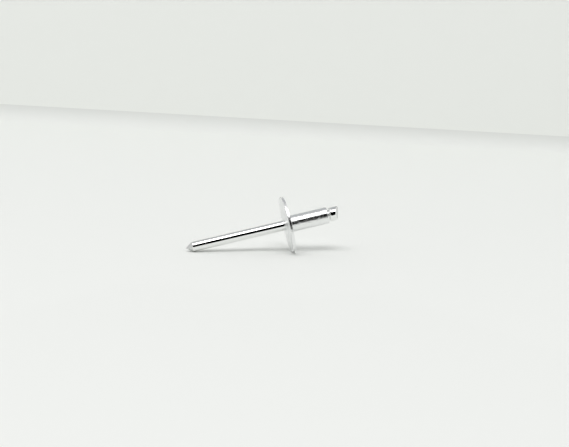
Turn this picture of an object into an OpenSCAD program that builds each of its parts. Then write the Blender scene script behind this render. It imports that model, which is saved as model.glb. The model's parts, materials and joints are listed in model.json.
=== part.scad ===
// Large-flange blind rivet, unset, lying at rest on a flat surface.
// The aluminium rivet body is threaded onto a steel mandrel. Both are
// turned profiles about one axis: u runs along it towards the mandrel's
// head and is zero on the flange's bearing face, r is the radius.

/* [Rivet body] */
// Outside diameter of the sleeve
body_d = 4.76; // [4:0.01:6.4]
// Length of the sleeve, from the bearing face to its open end
body_len = 11.4; // [6:0.1:25]
// Radius on the sleeve's open end
end_round = 0.3; // [0.1:0.05:0.6]
// Radius between the sleeve and the bearing face
root_fillet = 0.4; // [0.1:0.05:0.8]

/* [Flange] */
// Outside diameter of the flange
flange_d = 16.2; // [9:0.1:20]
// Thickness of the flange at its rim
rim_t = 0.85; // [0.6:0.05:1.6]
// How far the crown stands above the rim's thickness
crown_rise = 0.3; // [0.2:0.05:2]
// Radius on the rim's outer edge
rim_round = 0.3; // [0.1:0.05:0.5]
// Radius on the rim's edge at the bearing face
face_round = 0.08; // [0.02:0.01:0.1]

/* [Mandrel] */
// Diameter of the mandrel's shank
mandrel_d = 2.85; // [2:0.05:3.2]
// Length of shank and point that stands out of the flange
mandrel_out = 28.8; // [20:0.1:60]
// Length of the pointed tip
point_len = 1.95; // [1:0.05:4]
// Radius on the very end of the point
point_round = 0.15; // [0.05:0.05:0.4]
// Radius where the point meets the shank
shoulder_round = 0.5; // [0.1:0.1:1.5]

/* [Mandrel head] */
// Outside diameter of the head
head_d = 4; // [3.6:0.05:5]
// Length of the head, on its longest side
head_len = 3.2; // [2.5:0.1:5]
// Shank left bare between the sleeve's end and the head
head_gap = 0.4; // [0.3:0.05:2]
// Radius on the head's underside
head_round = 0.85; // [0.2:0.05:1.2]
// Radius between the shank and the head
neck_fillet = 0.2; // [0.05:0.05:0.25]
// Angle by which the head's end was cut out of square
end_cant = 20; // [0:1:22]
// Direction of the end's shortest side, turned about the axis from the underside
cant_turn = -65; // [-180:5:180]

/* [Break groove] */
// Diameter left at the bottom of the groove
break_d = 2.1; // [1.5:0.05:2.6]
// Angle between the groove's walls
break_angle = 90; // [60:5:120]
// Depth of the groove inside the sleeve, from the open end
break_depth = 1.2; // [0.8:0.1:4]

/* [Fit] */
// Gap between the mandrel and the bore, on the radius
bore_clearance = 0.03; // [0.01:0.01:0.1]

/* [Hidden] */
$fn = 96;

ARC_STEPS = 8;
CROWN_STEPS = 12;

body_r = body_d / 2;
flange_r = flange_d / 2;
mandrel_r = mandrel_d / 2;
head_r = head_d / 2;
bore_r = mandrel_r + bore_clearance;

// Stations along the axis
u_crown = -(rim_t + crown_rise);
u_apex = u_crown - mandrel_out;
u_shoulder = u_apex + point_len;
u_head = body_len + head_gap;
u_end = u_head + head_len;
u_break = body_len - break_depth;

// The crown is a cap of a sphere: its edge meets the rim's round
cap_r = flange_r - rim_round;
cap_sphere_r = (cap_r * cap_r + crown_rise * crown_rise) / (2 * crown_rise);

// The point is a cone with a ball end and a soft shoulder
point_angle = atan2(mandrel_r, point_len);
u_ball = u_apex + point_round;
u_cone = u_ball - point_round / sin(point_angle);
u_corner = u_cone + mandrel_r / tan(point_angle);
shoulder_cut = shoulder_round * tan(point_angle / 2);
shoulder_end = u_corner + shoulder_cut;

// Tilt at which the flange's rim and the mandrel's shoulder both touch the ground
rim_centre_r = flange_r - rim_round;
rim_centre_u = -rim_t + rim_round;
seat_centre_r = mandrel_r - shoulder_round;
seat_rise = rim_centre_r - seat_centre_r;
seat_run = rim_centre_u - shoulder_end;
seat_reach = norm([seat_rise, seat_run]);
tilt = atan2(seat_rise, seat_run) + asin((rim_round - shoulder_round) / seat_reach);

// Place of the bearing face's centre, with the origin under the middle of the whole
lift = rim_centre_r * cos(tilt) - rim_centre_u * sin(tilt) + rim_round;
x_point = u_ball * cos(tilt) - point_round;
cut_fall = tan(end_cant) * cos(tilt);
cut_reach = norm([sin(tilt) - cut_fall * cos(cant_turn), cut_fall * sin(cant_turn)]);
x_head = u_end * cos(tilt) + head_r * (cut_reach - cut_fall);
shift = -(x_point + x_head) / 2;

// Points of a round stretch, as [r, u], turning from angle a to angle b
function arc(r, u, radius, a, b, steps = ARC_STEPS) =
    [for (i = [0 : steps]) let (t = a + (b - a) * i / steps)
        [r + radius * cos(t), u + radius * sin(t)]];

// Height of the crown's surface at radius r
function crown_u(r) = u_crown + cap_sphere_r - sqrt(cap_sphere_r * cap_sphere_r - r * r);

// Lays a profile's axis down, head end up, at its resting tilt
module at_rest() {
    translate([shift, 0, lift])
        rotate([0, 90 - tilt, 0])
            children();
}

// Aluminium sleeve and flange, cold headed in one piece with a through bore
module rivet_body() {
    outline = concat(
        [[bore_r, body_len]],
        arc(body_r - end_round, body_len - end_round, end_round, 90, 0),
        arc(body_r + root_fillet, root_fillet, root_fillet, 180, 270),
        arc(flange_r - face_round, -face_round, face_round, 90, 0),
        arc(flange_r - rim_round, rim_centre_u, rim_round, 0, -90),
        [for (i = [1 : CROWN_STEPS]) let (r = cap_r + (bore_r - cap_r) * i / CROWN_STEPS)
            [r, crown_u(r)]]
    );
    color("gainsboro")
        at_rest()
            rotate_extrude()
                polygon(outline);
}

// Steel wire with a pointed tip, a break groove and an upset head
module mandrel() {
    groove_half = (mandrel_r - break_d / 2) * tan(break_angle / 2);
    outline = concat(
        [[0, u_apex]],
        arc(0, u_ball, point_round, -90 + 90 / ARC_STEPS, -point_angle),
        arc(seat_centre_r, shoulder_end, shoulder_round, -point_angle, 0),
        [
            [mandrel_r, u_break - groove_half],
            [break_d / 2, u_break],
            [mandrel_r, u_break + groove_half],
        ],
        arc(mandrel_r + neck_fillet, u_head - neck_fillet, neck_fillet, 180, 90),
        arc(head_r - head_round, u_head + head_round, head_round, -90, 0),
        [
            [head_r, u_end],
            [0, u_end],
        ]
    );
    color("silver")
        at_rest()
            difference() {
                rotate_extrude()
                    polygon(outline);
                // The end is cut off at a slant, from its longest side across
                rotate([0, 0, cant_turn])
                    translate([-head_r, 0, u_end])
                        rotate([0, end_cant, 0])
                            translate([0, -head_d, 0])
                                cube(2 * head_d);
            }
}

rivet_body();
mandrel();
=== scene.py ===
import json
import math

import bmesh
import bpy
from bpy.props import FloatProperty, FloatVectorProperty, PointerProperty
from mathutils import Euler, Matrix, Vector


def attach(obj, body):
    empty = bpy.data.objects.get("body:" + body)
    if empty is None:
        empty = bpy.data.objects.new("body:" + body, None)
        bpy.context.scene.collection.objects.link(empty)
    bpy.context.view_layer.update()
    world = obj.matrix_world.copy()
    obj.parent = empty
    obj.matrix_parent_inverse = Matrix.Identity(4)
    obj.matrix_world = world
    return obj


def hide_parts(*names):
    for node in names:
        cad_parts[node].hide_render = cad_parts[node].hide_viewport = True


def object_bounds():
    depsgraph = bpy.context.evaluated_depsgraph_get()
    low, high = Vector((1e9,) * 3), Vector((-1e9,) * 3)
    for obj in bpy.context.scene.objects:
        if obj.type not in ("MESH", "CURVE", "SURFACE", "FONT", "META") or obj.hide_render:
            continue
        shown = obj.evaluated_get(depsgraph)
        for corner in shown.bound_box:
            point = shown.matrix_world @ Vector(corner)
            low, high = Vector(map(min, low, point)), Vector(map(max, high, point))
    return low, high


bl_info = {
    "name": "Large-Flange Blind Rivet",
    "version": (1, 0, 0),
    "blender": (4, 5, 0),
    "location": "3D View > Sidebar > Rivet",
    "description": "Models an unset blind rivet on its mandrel, with bright metal and a studio",
    "category": "Object",
}

# ---------------------------------------------------------------------------
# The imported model: every place and size starts from it.
# u runs along the rivet's axis towards the mandrel's head and is 0 on the
# bearing face; r is the radius. Pieces are modelled in millimetres along +Z,
# then laid down into the frame, which is in metres.
# ---------------------------------------------------------------------------
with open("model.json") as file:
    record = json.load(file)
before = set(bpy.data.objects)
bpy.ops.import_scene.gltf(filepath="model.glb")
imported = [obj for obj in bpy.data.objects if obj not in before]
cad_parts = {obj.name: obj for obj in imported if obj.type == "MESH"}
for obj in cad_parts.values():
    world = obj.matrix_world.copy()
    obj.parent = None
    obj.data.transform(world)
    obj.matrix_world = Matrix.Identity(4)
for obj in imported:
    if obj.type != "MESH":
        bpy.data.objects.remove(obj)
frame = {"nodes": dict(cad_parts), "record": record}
CAD_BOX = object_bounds()

MM = 0.001
MOUNTS = {mount["name"]: mount for mount in frame["record"]["mounts"]}
AXIS = Vector(MOUNTS["sleeve"]["axis"]).normalized()
SLEEVE_POINT = Vector(MOUNTS["sleeve"]["pos_m"])
FACE_POINT = Vector(MOUNTS["bearing_face"]["pos_m"])
FACE_CENTRE = SLEEVE_POINT + AXIS * (FACE_POINT - SLEEVE_POINT).dot(AXIS)
TILT = math.asin(AXIS.z)
LAY_DOWN = Euler((0.0, math.pi / 2 - TILT, 0.0))
REST = Matrix.Translation(FACE_CENTRE) @ LAY_DOWN.to_matrix().to_4x4() @ Matrix.Scale(MM, 4)


def turned_extent(node):
    """Lowest u, highest u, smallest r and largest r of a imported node, in metres."""
    stations = []
    radii = []
    for vertex in frame["nodes"][node].data.vertices:
        arm = vertex.co - FACE_CENTRE
        along = arm.dot(AXIS)
        stations.append(along)
        radii.append((arm - AXIS * along).length)
    return min(stations), max(stations), min(radii), max(radii)


CROWN_U, SLEEVE_END_U, BORE_R, FLANGE_R = turned_extent("rivet_body")
POINT_U, HEAD_END_U, _, HEAD_R = turned_extent("mandrel")
SLEEVE_R = MOUNTS["sleeve"]["dims"]["r_mm"] * MM
SHANK_R = MOUNTS["mandrel_shank"]["dims"]["r_mm"] * MM


# ---------------------------------------------------------------------------
# Settings
# ---------------------------------------------------------------------------
class RivetBodySettings(bpy.types.PropertyGroup):
    sleeve_radius: FloatProperty(
        name="Sleeve Radius", description="Outside radius of the sleeve",
        default=SLEEVE_R, unit="LENGTH", precision=5)
    sleeve_length: FloatProperty(
        name="Sleeve Length", description="From the bearing face to the open end",
        default=SLEEVE_END_U, unit="LENGTH", precision=5)
    flange_radius: FloatProperty(
        name="Flange Radius", description="Outside radius of the flange",
        default=FLANGE_R, unit="LENGTH", precision=5)
    bore_radius: FloatProperty(
        name="Bore Radius", description="Radius of the hole that the mandrel runs through",
        default=BORE_R, unit="LENGTH", precision=5)
    crown_height: FloatProperty(
        name="Crown Height", description="Thickness of the flange at its middle",
        default=-CROWN_U, unit="LENGTH", precision=5)
    rim_thickness: FloatProperty(
        name="Rim Thickness", description="Thickness of the flange at its rim",
        default=0.85 * MM, unit="LENGTH", precision=5)
    rim_round: FloatProperty(
        name="Rim Round", description="Radius on the rim's outer edge",
        default=0.3 * MM, unit="LENGTH", precision=5)
    face_round: FloatProperty(
        name="Face Round", description="Radius on the rim's edge at the bearing face",
        default=0.08 * MM, unit="LENGTH", precision=5)
    end_round: FloatProperty(
        name="End Round", description="Radius on the sleeve's open end",
        default=0.3 * MM, unit="LENGTH", precision=5)
    bore_round: FloatProperty(
        name="Bore Edge", description="Radius on the bore's mouth at the open end",
        default=0.06 * MM, unit="LENGTH", precision=5)
    root_fillet: FloatProperty(
        name="Root Fillet", description="Radius between the sleeve and the bearing face",
        default=0.4 * MM, unit="LENGTH", precision=5)
    colour: FloatVectorProperty(
        name="Colour", description="Colour of the bright aluminium",
        default=(0.91, 0.915, 0.915), subtype="COLOR", min=0.0, max=1.0)
    roughness: FloatProperty(
        name="Roughness", description="Roughness of the cleanest metal",
        default=0.14, subtype="FACTOR", min=0.0, max=1.0)
    face_roughness: FloatProperty(
        name="Face Roughness", description="Roughness of the flange's pressed face",
        default=0.36, subtype="FACTOR", min=0.0, max=1.0)


class MandrelSettings(bpy.types.PropertyGroup):
    shank_radius: FloatProperty(
        name="Shank Radius", description="Radius of the drawn wire",
        default=SHANK_R, unit="LENGTH", precision=5)
    point_length: FloatProperty(
        name="Point Length", description="Length of the pointed tip",
        default=1.95 * MM, unit="LENGTH", precision=5)
    point_flat: FloatProperty(
        name="Point Flat", description="Radius of the blunt end of the point",
        default=0.1 * MM, unit="LENGTH", precision=5)
    shoulder_round: FloatProperty(
        name="Shoulder Round", description="Radius where the point meets the shank",
        default=0.5 * MM, unit="LENGTH", precision=5)
    head_radius: FloatProperty(
        name="Head Radius", description="Outside radius of the head",
        default=HEAD_R, unit="LENGTH", precision=5)
    head_gap: FloatProperty(
        name="Head Gap", description="Bare shank between the sleeve and the head",
        default=0.4 * MM, unit="LENGTH", precision=5)
    head_round: FloatProperty(
        name="Head Round", description="Radius on the head's underside",
        default=0.85 * MM, unit="LENGTH", precision=5)
    neck_fillet: FloatProperty(
        name="Neck Fillet", description="Radius between the shank and the head",
        default=0.2 * MM, unit="LENGTH", precision=5)
    end_round: FloatProperty(
        name="End Round", description="Radius on the edge of the cut end",
        default=0.28 * MM, unit="LENGTH", precision=5)
    end_cant: FloatProperty(
        name="End Cant", description="Angle by which the head's end is cut out of square",
        default=math.radians(20.0), subtype="ANGLE")
    cant_turn: FloatProperty(
        name="Cant Turn", description="Direction of the end's shortest side, from the underside",
        default=math.radians(-65.0), subtype="ANGLE")
    groove_depth: FloatProperty(
        name="Groove Depth", description="Depth of the break groove in the wire",
        default=0.375 * MM, unit="LENGTH", precision=5)
    groove_back: FloatProperty(
        name="Groove Setback", description="Break groove's place inside the sleeve's end",
        default=1.2 * MM, unit="LENGTH", precision=5)
    colour: FloatVectorProperty(
        name="Colour", description="Colour of the bright drawn steel",
        default=(0.91, 0.915, 0.905), subtype="COLOR", min=0.0, max=1.0)
    roughness: FloatProperty(
        name="Roughness", description="Roughness of the cleanest metal",
        default=0.035, subtype="FACTOR", min=0.0, max=1.0)
    sheared_colour: FloatVectorProperty(
        name="Sheared Colour", description="Colour of the cropped point and end",
        default=(0.72, 0.73, 0.725), subtype="COLOR", min=0.0, max=1.0)
    sheared_roughness: FloatProperty(
        name="Sheared Roughness", description="Roughness of the cropped point and end",
        default=0.38, subtype="FACTOR", min=0.0, max=1.0)


class StudioSettings(bpy.types.PropertyGroup):
    floor_colour: FloatVectorProperty(
        name="Floor Colour", description="Colour of the pale floor",
        default=(0.828, 0.842, 0.82), subtype="COLOR", min=0.0, max=1.0)
    backdrop_colour: FloatVectorProperty(
        name="Backdrop Colour", description="Colour of the pale backdrop",
        default=(0.94, 0.955, 0.925), subtype="COLOR", min=0.0, max=1.0)
    backdrop_distance: FloatProperty(
        name="Backdrop Distance", description="From the rivet to the backdrop",
        default=0.207, unit="LENGTH")
    backdrop_height: FloatProperty(
        name="Backdrop Height", description="Height of the backdrop over the floor",
        default=0.12, unit="LENGTH")
    backdrop_bend: FloatProperty(
        name="Backdrop Bend", description="Radius between the floor and the backdrop",
        default=0.006, unit="LENGTH")
    backdrop_turn: FloatProperty(
        name="Backdrop Turn", description="Turn of the backdrop out of square to the camera",
        default=math.radians(-6.5), subtype="ANGLE")
    ambient: FloatProperty(
        name="Ambient", description="Brightness of the pale room",
        default=0.73, min=0.0)
    softbox_power: FloatProperty(
        name="Softbox Power", description="Power of the overhead softbox",
        default=9.8, min=0.0)
    softbox_azimuth: FloatProperty(
        name="Softbox Azimuth", description="Side that the softbox leans to, from the near side",
        default=math.radians(-24.0), subtype="ANGLE")
    softbox_elevation: FloatProperty(
        name="Softbox Elevation", description="Height of the softbox's middle over the horizon",
        default=math.radians(63.0), subtype="ANGLE")
    softbox_width: FloatProperty(
        name="Softbox Width", description="Width of the softbox",
        default=1.1, unit="LENGTH")
    softbox_height: FloatProperty(
        name="Softbox Height", description="Height of the softbox",
        default=0.62, unit="LENGTH")
    softbox_distance: FloatProperty(
        name="Softbox Distance", description="From the rivet to the softbox",
        default=1.4, unit="LENGTH")
    # Nearest edge of the black sheet over the floor that only reflections see, a painted dark
    # reflection of the shaded floor
    dark_reflection_nearest: FloatProperty(
        name="Dark Reflection Nearest", description="From the rivet to the dark room's nearest edge",
        default=0.05, unit="LENGTH")
    dark_distance: FloatProperty(
        name="Dark Room Distance", description="From the rivet to the dark room",
        default=1.9, unit="LENGTH")
    dark_top: FloatProperty(
        name="Dark Room Top", description="Height of the dark room over the horizon",
        default=math.radians(50.0), subtype="ANGLE")
    ceiling_colour: FloatVectorProperty(
        name="Ceiling Colour", description="Colour of the ceiling over the backdrop",
        default=(0.66, 0.68, 0.7), subtype="COLOR", min=0.0, max=1.0)
    ceiling_low: FloatProperty(
        name="Ceiling Low", description="Height of the ceiling's far edge over the horizon",
        default=math.radians(25.0), subtype="ANGLE")
    ceiling_high: FloatProperty(
        name="Ceiling High", description="Height of the ceiling's near edge over the horizon",
        default=math.radians(88.0), subtype="ANGLE")
    camera_azimuth: FloatProperty(
        name="Camera Azimuth", description="Turn of the camera about the rivet, from its side",
        default=math.radians(-9.8), subtype="ANGLE")
    camera_elevation: FloatProperty(
        name="Camera Elevation", description="Height of the camera over the horizon",
        default=math.radians(12.0), subtype="ANGLE")
    camera_roll: FloatProperty(
        name="Camera Roll", description="Turn of the camera about its own line of sight",
        default=math.radians(2.3), subtype="ANGLE")
    camera_distance: FloatProperty(
        name="Camera Distance", description="From the camera to the middle of the view",
        default=0.512, unit="LENGTH")
    lens: FloatProperty(
        name="Lens", description="Focal length in millimetres on a 36 mm frame",
        default=114.2)
    view_right: FloatProperty(
        name="View Right", description="Middle of the view, right of the bearing face",
        default=-1.2 * MM, unit="LENGTH", precision=5)
    view_up: FloatProperty(
        name="View Up", description="Middle of the view, above the bearing face",
        default=0.15 * MM, unit="LENGTH", precision=5)


# ---------------------------------------------------------------------------
# Modelling
# ---------------------------------------------------------------------------
STEPS_AROUND = 224
ROUND_SEGMENTS = 8
CROWN_SEGMENTS = 40
BORE_EDGE_SEGMENTS = 3
FACE_EDGE_SEGMENTS = 4
POINT_SEGMENTS = 5
CUT_EDGE_SEGMENTS = 6
HEAD_SEGMENTS = 14
LONGEST_STEP = 0.35
MERGE_GAP = 1e-3
RIM_ARC_FIT = 0.98  # keeps the rim's arc just clear of the crown's first edge
POINT_ARC_FIT = 0.9  # keeps the point's arc just clear of the axis
POINT_SETBACK = 0.25  # of its flat's radius: how far the blunt point lies inside its node
UP = Vector((0.0, 0.0, 1.0))
SIDE = Vector((0.0, 1.0, 0.0))


def profile_chain(mesh, corners):
    """Joins the (u, r) corners of a half section, in millimetres, into a chain of edges."""
    verts = [mesh.verts.new((r, 0.0, u)) for u, r in corners]
    for first, second in zip(verts, verts[1:]):
        mesh.edges.new((first, second))
    return verts


def round_corner(mesh, vert, radius, segments=ROUND_SEGMENTS):
    """Rounds one corner of a profile with an arc of that radius."""
    before, after = [edge.other_vert(vert).co - vert.co for edge in vert.link_edges]
    turn = math.pi - before.angle(after)
    bmesh.ops.bevel(
        mesh, geom=[vert], offset=radius * math.tan(turn / 2), offset_type="OFFSET",
        segments=segments, profile=0.5, affect="VERTICES", clamp_overlap=False, material=-1)


def even_steps(mesh, longest, highest=math.inf):
    """Divides a profile's long stretches below a station, so that shading stays flat."""
    for edge in list(mesh.edges):
        if max(vert.co.z for vert in edge.verts) > highest:
            continue
        cuts = math.ceil(edge.calc_length() / longest) - 1
        if cuts > 0:
            bmesh.ops.subdivide_edges(mesh, edges=[edge], cuts=cuts)


def spin_profile(mesh):
    """Turns the profile right round the axis and closes its seam and poles."""
    bmesh.ops.spin(
        mesh, geom=mesh.verts[:] + mesh.edges[:], cent=(0.0, 0.0, 0.0), axis=UP,
        angle=2 * math.pi, steps=STEPS_AROUND, use_merge=True)
    bmesh.ops.remove_doubles(mesh, verts=mesh.verts[:], dist=MERGE_GAP)
    bmesh.ops.recalc_face_normals(mesh, faces=mesh.faces[:])


def finished_piece(mesh, name, node, materials):
    """Lays a modelled piece down in the frame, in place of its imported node."""
    bmesh.ops.transform(mesh, matrix=REST, verts=mesh.verts[:])
    bmesh.ops.recalc_face_normals(mesh, faces=mesh.faces[:])
    for face in mesh.faces:
        face.smooth = True
    data = bpy.data.meshes.new(name)
    mesh.to_mesh(data)
    mesh.free()
    piece = bpy.data.objects.new(name, data)
    bpy.context.scene.collection.objects.link(piece)
    for material in materials:
        data.materials.append(material)
    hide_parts(node)
    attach(piece, "root")
    return piece


def model_rivet_body(size):
    """Sleeve and domed flange with a through bore, as one closed turned shape.

    The flange's domed face takes the second material, for metal pressed in a die.
    """
    sleeve_r = size.sleeve_radius / MM
    flange_r = size.flange_radius / MM
    bore_r = size.bore_radius / MM
    length = size.sleeve_length / MM
    rim = size.rim_thickness / MM
    crown = size.crown_height / MM
    rim_round = size.rim_round / MM
    bore_round = size.bore_round / MM

    # The crown is a cap of a sphere that meets the rim's round
    cap_r = flange_r - rim_round
    rise = crown - rim
    sphere_r = (cap_r ** 2 + rise ** 2) / (2 * rise)
    mouth_angle = math.asin(bore_r / sphere_r)
    cap_angle = math.asin(cap_r / sphere_r)
    sphere_u = sphere_r - crown
    mouth_u = sphere_u - sphere_r * math.cos(mouth_angle)

    mesh = bmesh.new()
    _, end_inner, end_outer, root, face_edge, rim_edge = profile_chain(mesh, [
        (mouth_u, bore_r),
        (length, bore_r),
        (length, sleeve_r),
        (0.0, sleeve_r),
        (0.0, flange_r),
        (-rim, flange_r),
    ])
    cap_edge = mesh.verts.new((cap_r, 0.0, -rim))
    mesh.edges.new((rim_edge, cap_edge))
    bmesh.ops.spin(
        mesh, geom=[cap_edge], cent=(0.0, 0.0, sphere_u), axis=SIDE,
        angle=cap_angle - mouth_angle, steps=CROWN_SEGMENTS, use_merge=False)
    bmesh.ops.remove_doubles(mesh, verts=mesh.verts[:], dist=MERGE_GAP)
    round_corner(mesh, end_inner, bore_round, BORE_EDGE_SEGMENTS)
    round_corner(mesh, end_outer, size.end_round / MM)
    round_corner(mesh, root, size.root_fillet / MM)
    round_corner(mesh, face_edge, size.face_round / MM, FACE_EDGE_SEGMENTS)
    round_corner(mesh, rim_edge, rim_round * RIM_ARC_FIT)
    even_steps(mesh, LONGEST_STEP)
    spin_profile(mesh)
    for face in mesh.faces:
        middle = face.calc_center_median()
        if middle.z < -rim and middle.xy.length > bore_r + bore_round:
            face.material_index = 1
    return mesh


def model_mandrel(size, seat):
    """Pointed wire with a break groove and an upset head whose end is cut off at a slant.

    The point and the slanting cut take the second material, for sheared metal.
    """
    shank_r = size.shank_radius / MM
    head_r = size.head_radius / MM
    flat_r = size.point_flat / MM
    point = POINT_U / MM
    tip = point + flat_r * POINT_SETBACK
    shoulder = point + size.point_length / MM
    sleeve_end = seat.sleeve_length / MM
    groove = sleeve_end - size.groove_back / MM
    depth = size.groove_depth / MM
    head = sleeve_end + size.head_gap / MM
    end = HEAD_END_U / MM

    mesh = bmesh.new()
    chain = profile_chain(mesh, [
        (tip, 0.0),
        (tip, flat_r),
        (shoulder, shank_r),
        (groove - depth, shank_r),
        (groove, shank_r - depth),
        (groove + depth, shank_r),
        (head, shank_r),
        (head, head_r),
        (end, head_r),
        (end, 0.0),
    ])
    round_corner(mesh, chain[1], flat_r * POINT_ARC_FIT, POINT_SEGMENTS)
    round_corner(mesh, chain[2], size.shoulder_round / MM)
    round_corner(mesh, chain[6], size.neck_fillet / MM)
    round_corner(mesh, chain[7], size.head_round / MM, HEAD_SEGMENTS)
    even_steps(mesh, LONGEST_STEP, head + size.head_round / MM + MERGE_GAP)
    spin_profile(mesh)
    for face in mesh.faces:
        if face.calc_center_median().z < shoulder - size.shoulder_round / MM / 2:
            face.material_index = 1

    # The cut runs down from the end's longest side, square to the slant
    slant = Matrix.Rotation(size.cant_turn, 3, "Z") @ Matrix.Rotation(size.end_cant, 3, "Y")
    longest_side = Matrix.Rotation(size.cant_turn, 3, "Z") @ Vector((-head_r, 0.0, end))
    bmesh.ops.bisect_plane(
        mesh, geom=mesh.verts[:] + mesh.edges[:] + mesh.faces[:], dist=MERGE_GAP,
        plane_co=longest_side, plane_no=slant @ UP, clear_outer=True)
    bmesh.ops.remove_doubles(mesh, verts=mesh.verts[:], dist=MERGE_GAP)
    open_edges = [edge for edge in mesh.edges if edge.is_boundary]
    cut = bmesh.ops.holes_fill(mesh, edges=open_edges, sides=0)["faces"]
    for face in cut:
        face.material_index = 1
    bmesh.ops.bevel(
        mesh, geom=[edge for face in cut for edge in face.edges], offset=size.end_round / MM,
        offset_type="OFFSET", segments=CUT_EDGE_SEGMENTS, profile=0.5, affect="EDGES",
        material=0)
    return mesh


# ---------------------------------------------------------------------------
# Node helpers
# ---------------------------------------------------------------------------
DRAWN_ALUMINIUM_RELIEF = 0.065 * MM
PRESSED_ALUMINIUM_RELIEF = 0.16 * MM
DRAWN_STEEL_RELIEF = 0.003 * MM
SHEARED_STEEL_RELIEF = 0.06 * MM

# Brightness of each metal's dull patches, as a share of its clean colour
DRAWN_ALUMINIUM_DULL = 0.93
PRESSED_ALUMINIUM_DULL = 0.78
DRAWN_STEEL_DULL = 0.92
SHEARED_STEEL_DULL = 0.85


def link(tree, source, target):
    tree.links.new(source, target)


def value_node(tree, operation, first, second=None):
    """A Math node on one or two inputs, which may be sockets or plain numbers."""
    node = tree.nodes.new("ShaderNodeMath")
    node.operation = operation
    for socket, value in zip(node.inputs, (first, second)):
        if isinstance(value, bpy.types.NodeSocket):
            link(tree, value, socket)
        elif value is not None:
            socket.default_value = value
    return node.outputs[0]


def weighted_sum(tree, first, first_weight, second, second_weight):
    return value_node(tree, "ADD", value_node(tree, "MULTIPLY", first, first_weight),
                      value_node(tree, "MULTIPLY", second, second_weight))


def worn_roughness(tree, base, wear, rise):
    """The clean metal's roughness, which rises by that much where the wear is full."""
    return value_node(tree, "ADD", value_node(tree, "MULTIPLY", wear, rise), base)


def dulled(colour, share):
    return tuple(channel * share for channel in colour)


def noise_node(tree, vector, scale, detail=2.0, roughness=0.5):
    node = tree.nodes.new("ShaderNodeTexNoise")
    node.inputs["Scale"].default_value = scale
    node.inputs["Detail"].default_value = detail
    node.inputs["Roughness"].default_value = roughness
    link(tree, vector, node.inputs["Vector"])
    return node.outputs["Fac"]


def stretched(tree, vector, scale):
    """The vector with each axis multiplied by its own scale."""
    node = tree.nodes.new("ShaderNodeVectorMath")
    node.operation = "MULTIPLY"
    link(tree, vector, node.inputs[0])
    node.inputs[1].default_value = scale
    return node.outputs[0]


def remap(tree, value, low, high, new_low, new_high):
    node = tree.nodes.new("ShaderNodeMapRange")
    node.inputs["From Min"].default_value = low
    node.inputs["From Max"].default_value = high
    node.inputs["To Min"].default_value = new_low
    node.inputs["To Max"].default_value = new_high
    link(tree, value, node.inputs["Value"])
    return node.outputs["Result"]


def new_group(name, inputs, outputs):
    """A node group with named sockets: inputs are (name, type, default), outputs are names."""
    group = bpy.data.node_groups.new(name, "ShaderNodeTree")
    for label, kind, default in inputs:
        socket = group.interface.new_socket(name=label, in_out="INPUT", socket_type=kind)
        if default is not None:
            socket.default_value = default
    for label in outputs:
        group.interface.new_socket(name=label, in_out="OUTPUT", socket_type="NodeSocketFloat")
    entry = group.nodes.new("NodeGroupInput")
    leave = group.nodes.new("NodeGroupOutput")
    return group, entry, leave


def drawing_marks_group():
    """Fine lines along the axis, left by drawing or extruding, and broader soft streaks."""
    group, entry, leave = new_group(
        "Drawing Marks",
        [("Vector", "NodeSocketVector", None)],
        ["Height", "Streaks"])
    vector = entry.outputs["Vector"]
    fine = noise_node(group, stretched(group, vector, (9.0, 9.0, 0.12)), 1.6, 3.0)
    broad = noise_node(group, stretched(group, vector, (1.6, 1.6, 0.05)), 1.3, 2.0)
    link(group, weighted_sum(group, fine, 0.6, broad, 0.4), leave.inputs["Height"])
    link(group, remap(group, broad, 0.35, 0.65, 0.0, 1.0), leave.inputs["Streaks"])
    return group


def handling_marks_group():
    """Small dents, pits and scuffs from tumbling loose in a box with others."""
    group, entry, leave = new_group(
        "Handling Marks",
        [("Vector", "NodeSocketVector", None), ("Amount", "NodeSocketFloat", 1.0)],
        ["Height", "Scuffs"])
    vector = entry.outputs["Vector"]
    mottle = noise_node(group, vector, 1.3, 4.0, 0.6)
    grit = noise_node(group, vector, 11.0, 3.0, 0.6)
    scratch = group.nodes.new("ShaderNodeTexVoronoi")
    scratch.feature = "DISTANCE_TO_EDGE"
    scratch.inputs["Scale"].default_value = 0.9
    warped = group.nodes.new("ShaderNodeVectorMath")
    warped.operation = "MULTIPLY_ADD"
    link(group, vector, warped.inputs[0])
    warped.inputs[1].default_value = (1.0, 1.0, 0.35)
    link(group, noise_node(group, vector, 0.8, 2.0), warped.inputs[2])
    link(group, warped.outputs[0], scratch.inputs["Vector"])
    line = remap(group, scratch.outputs["Distance"], 0.0, 0.012, 1.0, 0.0)
    scuffs = value_node(group, "MULTIPLY", remap(group, mottle, 0.45, 0.75, 0.0, 1.0),
                        entry.outputs["Amount"])
    uneven = weighted_sum(group, mottle, 0.7, grit, 0.3)
    height = value_node(group, "SUBTRACT", uneven, value_node(group, "MULTIPLY", line, 0.12))
    link(group, value_node(group, "MULTIPLY", height, entry.outputs["Amount"]),
         leave.inputs["Height"])
    link(group, scuffs, leave.inputs["Scuffs"])
    return group


def place_group(tree, group, vector, **values):
    node = tree.nodes.new("ShaderNodeGroup")
    node.node_tree = group
    link(tree, vector, node.inputs["Vector"])
    for name, value in values.items():
        node.inputs[name].default_value = value
    return node


def rivet_coordinates(tree):
    """Object coordinates turned to the rivet's axis: millimetres, with Z along the axis."""
    coordinates = tree.nodes.new("ShaderNodeTexCoord")
    mapping = tree.nodes.new("ShaderNodeMapping")
    mapping.vector_type = "TEXTURE"
    mapping.inputs["Location"].default_value = FACE_CENTRE
    mapping.inputs["Rotation"].default_value = LAY_DOWN
    mapping.inputs["Scale"].default_value = (MM, MM, MM)
    link(tree, coordinates.outputs["Object"], mapping.inputs["Vector"])
    return mapping.outputs["Vector"]


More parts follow.
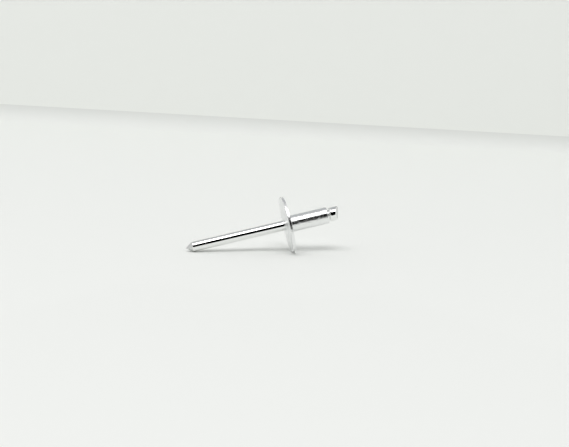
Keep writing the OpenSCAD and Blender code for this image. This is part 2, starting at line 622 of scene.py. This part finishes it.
def metal_material(name):
    """A new material with a plain metallic Principled BSDF, ready for its maps."""
    material = bpy.data.materials.new(name)
    material.use_nodes = True
    tree = material.node_tree
    shader = tree.nodes["Principled BSDF"]
    shader.inputs["Metallic"].default_value = 1.0
    return material, tree, shader


def finish_metal(tree, shader, colour, dull_colour, dullness, roughness, height, relief):
    """Wires colour, roughness and bump maps, with that depth of relief, into a metal's shader."""
    mix = tree.nodes.new("ShaderNodeMix")
    mix.data_type = "RGBA"
    mix.inputs["A"].default_value = (*colour, 1.0)
    mix.inputs["B"].default_value = (*dull_colour, 1.0)
    link(tree, dullness, mix.inputs["Factor"])
    link(tree, mix.outputs["Result"], shader.inputs["Base Color"])
    link(tree, roughness, shader.inputs["Roughness"])
    bump = tree.nodes.new("ShaderNodeBump")
    bump.inputs["Strength"].default_value = 1.0
    bump.inputs["Distance"].default_value = relief
    link(tree, height, bump.inputs["Height"])
    link(tree, bump.outputs["Normal"], shader.inputs["Normal"])


def aluminium_material(settings, marks, handling):
    """Bright cold-headed aluminium: soft streaks along the sleeve and light tumbling marks."""
    material, tree, shader = metal_material("Bright Aluminium")
    vector = rivet_coordinates(tree)
    drawn = place_group(tree, marks, vector)
    tumbled = place_group(tree, handling, vector, Amount=1.0)
    dull = weighted_sum(tree, tumbled.outputs["Scuffs"], 0.7, drawn.outputs["Streaks"], 0.3)
    roughness = worn_roughness(tree, settings.roughness, dull, 0.16)
    height = weighted_sum(tree, drawn.outputs["Height"], 0.35, tumbled.outputs["Height"], 1.0)
    finish_metal(tree, shader, settings.colour, dulled(settings.colour, DRAWN_ALUMINIUM_DULL),
                 dull, roughness, height, DRAWN_ALUMINIUM_RELIEF)
    return material


def pressed_material(settings, handling):
    """Aluminium as the die left it on the flange's face: satin, with uneven soft patches."""
    material, tree, shader = metal_material("Pressed Aluminium")
    tumbled = place_group(tree, handling, rivet_coordinates(tree), Amount=1.0)
    roughness = worn_roughness(tree, settings.face_roughness, tumbled.outputs["Scuffs"], 0.15)
    finish_metal(tree, shader, settings.colour, dulled(settings.colour, PRESSED_ALUMINIUM_DULL),
                 tumbled.outputs["Scuffs"], roughness, tumbled.outputs["Height"],
                 PRESSED_ALUMINIUM_RELIEF)
    return material


def steel_material(settings, marks, handling):
    """Mirror-bright drawn steel wire with faint lines along it."""
    material, tree, shader = metal_material("Bright Drawn Steel")
    vector = rivet_coordinates(tree)
    drawn = place_group(tree, marks, vector)
    tumbled = place_group(tree, handling, vector, Amount=0.3)
    dull = weighted_sum(tree, tumbled.outputs["Scuffs"], 0.6, drawn.outputs["Streaks"], 0.4)
    roughness = worn_roughness(tree, settings.roughness, dull, 0.05)
    height = weighted_sum(tree, drawn.outputs["Height"], 0.5, tumbled.outputs["Height"], 0.5)
    finish_metal(tree, shader, settings.colour, dulled(settings.colour, DRAWN_STEEL_DULL),
                 dull, roughness, height, DRAWN_STEEL_RELIEF)
    return material


def sheared_material(settings, handling):
    """Steel where the wire was cropped: a dull, torn surface with no lines along the wire."""
    material, tree, shader = metal_material("Sheared Steel")
    vector = stretched(tree, rivet_coordinates(tree), (0.6, 2.2, 2.2))
    torn = place_group(tree, handling, vector, Amount=1.0)
    roughness = worn_roughness(tree, settings.sheared_roughness, torn.outputs["Scuffs"], 0.15)
    finish_metal(tree, shader, settings.sheared_colour,
                 dulled(settings.sheared_colour, SHEARED_STEEL_DULL),
                 torn.outputs["Scuffs"], roughness, torn.outputs["Height"],
                 SHEARED_STEEL_RELIEF)
    return material


# ---------------------------------------------------------------------------
# Stage
# ---------------------------------------------------------------------------
SHEET_REACH = 3.0
BEND_SEGMENTS = 12
CARD_STEPS = 8
CARD_SPREAD = math.radians(76.0)
CARD_SPREAD_STEPS = 16
BLACK = (0.0, 0.0, 0.0)


def heading(azimuth, elevation):
    """Unit vector from the rivet: azimuth 0 is the rivet's near side, turning towards +X."""
    level = math.cos(elevation)
    return Vector((level * math.sin(azimuth), -level * math.cos(azimuth), math.sin(elevation)))


def aim(holder, position, target, roll=0.0):
    """Puts a light or a camera at position, looking at target."""
    facing = (position - target).to_track_quat("Z", "Y").to_matrix().to_4x4()
    holder.matrix_world = Matrix.Translation(position) @ facing @ Matrix.Rotation(roll, 4, "Z")


def stage_object(mesh, name, material):
    data = bpy.data.meshes.new(name)
    mesh.to_mesh(data)
    mesh.free()
    data.materials.append(material)
    piece = bpy.data.objects.new(name, data)
    bpy.context.scene.collection.objects.link(piece)
    return piece


def matt_material(name, colour):
    material = bpy.data.materials.new(name)
    material.use_nodes = True
    shader = material.node_tree.nodes["Principled BSDF"]
    shader.inputs["Base Color"].default_value = (*colour, 1.0)
    shader.inputs["Roughness"].default_value = 0.9
    shader.inputs["Specular IOR Level"].default_value = 0.1
    return material


# ---------------------------------------------------------------------------
# Operators
# ---------------------------------------------------------------------------
class RIVET_OT_body(bpy.types.Operator):
    """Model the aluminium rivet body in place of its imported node"""
    bl_idname = "rivet.body"
    bl_label = "Rivet Body"
    bl_options = {"REGISTER", "UNDO"}

    def execute(self, context):
        settings = context.scene.rivet_body
        handling = shared_group("Handling Marks")
        drawn = aluminium_material(settings, shared_group("Drawing Marks"), handling)
        pressed = pressed_material(settings, handling)
        mesh = model_rivet_body(settings)
        finished_piece(mesh, "rivet_body_bright", "rivet_body",
                       [drawn, pressed])
        return {"FINISHED"}


class RIVET_OT_mandrel(bpy.types.Operator):
    """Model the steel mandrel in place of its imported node"""
    bl_idname = "rivet.mandrel"
    bl_label = "Mandrel"
    bl_options = {"REGISTER", "UNDO"}

    def execute(self, context):
        settings = context.scene.rivet_mandrel
        handling = shared_group("Handling Marks")
        drawn = steel_material(settings, shared_group("Drawing Marks"), handling)
        sheared = sheared_material(settings, handling)
        mesh = model_mandrel(settings, context.scene.rivet_body)
        finished_piece(mesh, "mandrel_bright", "mandrel", [drawn, sheared])
        return {"FINISHED"}


class RIVET_OT_studio(bpy.types.Operator):
    """Set up the floor, the lights and the camera"""
    bl_idname = "rivet.studio"
    bl_label = "Studio"
    bl_options = {"REGISTER", "UNDO"}

    @staticmethod
    def sweep_card(mesh, name, material):
        """Sweeps a profile about the upright through the rivet, as far to each side."""
        bmesh.ops.rotate(
            mesh, verts=mesh.verts[:], matrix=Matrix.Rotation(-CARD_SPREAD / 2, 3, "Z"))
        bmesh.ops.spin(
            mesh, geom=mesh.verts[:] + mesh.edges[:], cent=(0.0, 0.0, 0.0), axis=UP,
            angle=CARD_SPREAD, steps=CARD_SPREAD_STEPS, use_merge=False)
        return stage_object(mesh, name, material)

    @staticmethod
    def lay_sheet(settings):
        """One sheet: the floor, a soft bend, and a low backdrop that stands up behind."""
        mesh = bmesh.new()
        front = mesh.verts.new((0.0, -SHEET_REACH, 0.0))
        bend = mesh.verts.new((0.0, settings.backdrop_distance, 0.0))
        top = mesh.verts.new((0.0, settings.backdrop_distance, settings.backdrop_height))
        mesh.edges.new((front, bend))
        mesh.edges.new((bend, top))
        round_corner(mesh, bend, settings.backdrop_bend, BEND_SEGMENTS)
        sheet = bmesh.ops.extrude_edge_only(mesh, edges=mesh.edges[:])["geom"]
        far_side = [part for part in sheet if isinstance(part, bmesh.types.BMVert)]
        bmesh.ops.translate(mesh, vec=(2 * SHEET_REACH, 0.0, 0.0), verts=far_side)
        for face in mesh.faces:
            face.smooth = True
            if face.calc_center_median().z > settings.backdrop_bend:
                face.material_index = 1
        turn = settings.camera_azimuth + settings.backdrop_turn
        bmesh.ops.translate(mesh, vec=(-SHEET_REACH, 0.0, 0.0), verts=mesh.verts[:])
        bmesh.ops.rotate(mesh, verts=mesh.verts[:], matrix=Matrix.Rotation(turn, 3, "Z"))
        bmesh.ops.recalc_face_normals(mesh, faces=mesh.faces[:])
        floor = stage_object(mesh, "floor", matt_material("Pale Floor", settings.floor_colour))
        floor.data.materials.append(matt_material("Pale Backdrop", settings.backdrop_colour))

    def hang_cards(self, settings):
        """Dark and grey cards that give polished metal its bands. The lens sees none."""
        # A dark room behind the camera
        dark = matt_material("Dark Room", BLACK)
        start = heading(settings.camera_azimuth, 0.0)
        mesh = bmesh.new()
        low = mesh.verts.new(start * settings.dark_distance)
        bmesh.ops.spin(
            mesh, geom=[low], cent=(0.0, 0.0, 0.0), axis=start.cross(UP),
            angle=settings.dark_top, steps=CARD_STEPS, use_merge=False)
        room = self.sweep_card(mesh, "dark_room", dark)
        room.visible_camera = False

        # A black sheet just over the pale floor, between the rivet and the dark room, which only
        # the metal's reflections see: a painted dark reflection that stands in for the shaded
        # floor on the camera's side
        mesh = bmesh.new()
        near = mesh.verts.new(start * settings.dark_reflection_nearest + UP * MM)
        far = mesh.verts.new(start * settings.dark_distance + UP * MM)
        mesh.edges.new((near, far))
        dark_reflection_sheet = self.sweep_card(mesh, "painted_dark_reflection", dark)

        # A grey ceiling over the backdrop, for the upper edge of the polished metal
        mesh = bmesh.new()
        back = heading(settings.camera_azimuth + math.pi, settings.ceiling_low)
        low = mesh.verts.new(back * settings.dark_distance)
        bmesh.ops.spin(
            mesh, geom=[low], cent=(0.0, 0.0, 0.0), axis=back.cross(UP),
            angle=settings.ceiling_high - settings.ceiling_low, steps=CARD_STEPS,
            use_merge=False)
        ceiling = self.sweep_card(
            mesh, "grey_ceiling", matt_material("Grey Ceiling", settings.ceiling_colour))
        for card in (dark_reflection_sheet, ceiling):
            card.visible_camera = False
            card.visible_diffuse = False
            card.visible_shadow = False

    @staticmethod
    def light_scene(scene, settings):
        """A pale room and one overhead softbox."""
        world = bpy.data.worlds.new("Pale Room")
        world.use_nodes = True
        background = world.node_tree.nodes["Background"]
        background.inputs["Color"].default_value = (settings.ambient,) * 3 + (1.0,)
        scene.world = world

        middle = Vector((0.0, 0.0, CAD_BOX[1][2] / 2))
        lamp = bpy.data.lights.new("softbox", "AREA")
        lamp.shape = "RECTANGLE"
        lamp.size = settings.softbox_width
        lamp.size_y = settings.softbox_height
        lamp.energy = settings.softbox_power
        softbox = bpy.data.objects.new("softbox", lamp)
        scene.collection.objects.link(softbox)
        lean = heading(settings.softbox_azimuth, settings.softbox_elevation)
        aim(softbox, middle + lean * settings.softbox_distance, middle)

    @staticmethod
    def place_camera(scene, settings):
        """A long lens, low over the floor on the near side."""
        lens = bpy.data.cameras.new("camera")
        lens.lens = settings.lens
        lens.clip_start = 0.01
        camera = bpy.data.objects.new("camera", lens)
        scene.collection.objects.link(camera)
        back = heading(settings.camera_azimuth, settings.camera_elevation)
        right = UP.cross(back).normalized()
        target = FACE_CENTRE + right * settings.view_right + back.cross(right) * settings.view_up
        aim(camera, target + back * settings.camera_distance, target, settings.camera_roll)
        scene.camera = camera

    def execute(self, context):
        scene = context.scene
        settings = scene.rivet_studio
        scene.view_settings.view_transform = "Standard"
        self.lay_sheet(settings)
        self.hang_cards(settings)
        self.light_scene(scene, settings)
        self.place_camera(scene, settings)
        return {"FINISHED"}


GROUP_MAKERS = {
    "Drawing Marks": drawing_marks_group,
    "Handling Marks": handling_marks_group,
}


def shared_group(name):
    """The node group of that name, made the first time it is asked for."""
    return bpy.data.node_groups.get(name) or GROUP_MAKERS[name]()


class RIVET_PT_panel(bpy.types.Panel):
    """Lists the pieces and their settings"""
    bl_idname = "RIVET_PT_panel"
    bl_label = "Blind Rivet"
    bl_space_type = "VIEW_3D"
    bl_region_type = "UI"
    bl_category = "Rivet"

    def draw(self, context):
        for operator, group in (
            (RIVET_OT_body, context.scene.rivet_body),
            (RIVET_OT_mandrel, context.scene.rivet_mandrel),
            (RIVET_OT_studio, context.scene.rivet_studio),
        ):
            box = self.layout.box()
            box.operator(operator.bl_idname)
            for name in group.__annotations__:
                box.prop(group, name)


CLASSES = (
    RivetBodySettings,
    MandrelSettings,
    StudioSettings,
    RIVET_OT_body,
    RIVET_OT_mandrel,
    RIVET_OT_studio,
    RIVET_PT_panel,
)


def register():
    for cls in CLASSES:
        bpy.utils.register_class(cls)
    bpy.types.Scene.rivet_body = PointerProperty(type=RivetBodySettings)
    bpy.types.Scene.rivet_mandrel = PointerProperty(type=MandrelSettings)
    bpy.types.Scene.rivet_studio = PointerProperty(type=StudioSettings)


def unregister():
    del bpy.types.Scene.rivet_studio
    del bpy.types.Scene.rivet_mandrel
    del bpy.types.Scene.rivet_body
    for cls in reversed(CLASSES):
        bpy.utils.unregister_class(cls)


def main():
    register()
    bpy.ops.rivet.body()
    bpy.ops.rivet.mandrel()
    bpy.ops.rivet.studio()


if __name__ == "__main__":
    main()
